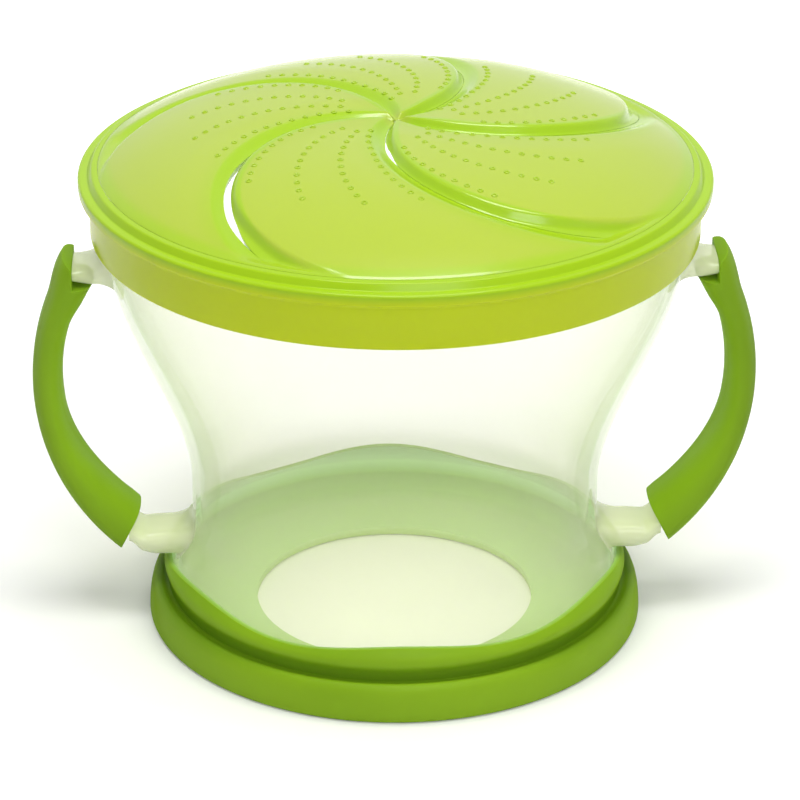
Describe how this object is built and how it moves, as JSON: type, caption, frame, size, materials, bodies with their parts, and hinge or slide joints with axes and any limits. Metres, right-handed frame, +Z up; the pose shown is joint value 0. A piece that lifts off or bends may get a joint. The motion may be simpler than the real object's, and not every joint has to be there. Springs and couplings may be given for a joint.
{
  "type": "toddler snack container",
  "caption": "Clear waisted snack cup with two soft-gripped side handles, a soft base boot and a press-on lid whose swirl of soft flaps lets a small hand in but keeps snacks from spilling.",
  "frame": {"origin": "middle of the base, on the resting surface", "axes": "+Z up, the two handles along +X and -X, the pictured front towards -Y"},
  "size_m": [0.1168, 0.1, 0.0867],
  "materials": {
    "clear_plastic": "clear gloss",
    "soft_green": "soft satin",
    "lid_green": "translucent soft gloss",
    "flap_green": "translucent soft gloss"
  },
  "bodies": {
    "cup": {"cup_body": "clear_plastic", "handle_core_left": "clear_plastic", "handle_core_right": "clear_plastic", "grip_left": "soft_green", "grip_right": "soft_green", "base_boot": "soft_green"},
    "lid": {"lid_ring": "lid_green"},
    "flap_1": {"flap_1": "flap_green"},
    "flap_2": {"flap_2": "flap_green"},
    "flap_3": {"flap_3": "flap_green"},
    "flap_4": {"flap_4": "flap_green"},
    "flap_5": {"flap_5": "flap_green"}
  },
  "joints": [
    {"name": "lid_lift", "type": "slide", "parent": "cup", "child": "lid", "axis": [0, 0, 1], "range_m": [0, 0.026]},
    {"name": "flap_1_bend", "type": "hinge", "parent": "lid", "child": "flap_1", "pos_m": [-0.01612, 0.03109, 0.08032], "axis": [0.6598, 0.7422, -0.1175], "range_deg": [-12, 60], "stiffness_Nm_per_rad": 0.03},
    {"name": "flap_2_bend", "type": "hinge", "parent": "lid", "child": "flap_2", "pos_m": [-0.03455, -0.00572, 0.08032], "axis": [-0.5019, 0.8569, -0.1175], "range_deg": [-12, 60], "stiffness_Nm_per_rad": 0.03},
    {"name": "flap_3_bend", "type": "hinge", "parent": "lid", "child": "flap_3", "pos_m": [-0.00523, -0.03463, 0.08032], "axis": [-0.9701, -0.2126, -0.1175], "range_deg": [-12, 60], "stiffness_Nm_per_rad": 0.03},
    {"name": "flap_4_bend", "type": "hinge", "parent": "lid", "child": "flap_4", "pos_m": [0.03132, -0.01568, 0.08032], "axis": [-0.0976, -0.9883, -0.1175], "range_deg": [-12, 60], "stiffness_Nm_per_rad": 0.03},
    {"name": "flap_5_bend", "type": "hinge", "parent": "lid", "child": "flap_5", "pos_m": [0.02459, 0.02494, 0.08032], "axis": [0.9097, -0.3982, -0.1175], "range_deg": [-12, 60], "stiffness_Nm_per_rad": 0.03}
  ]
}
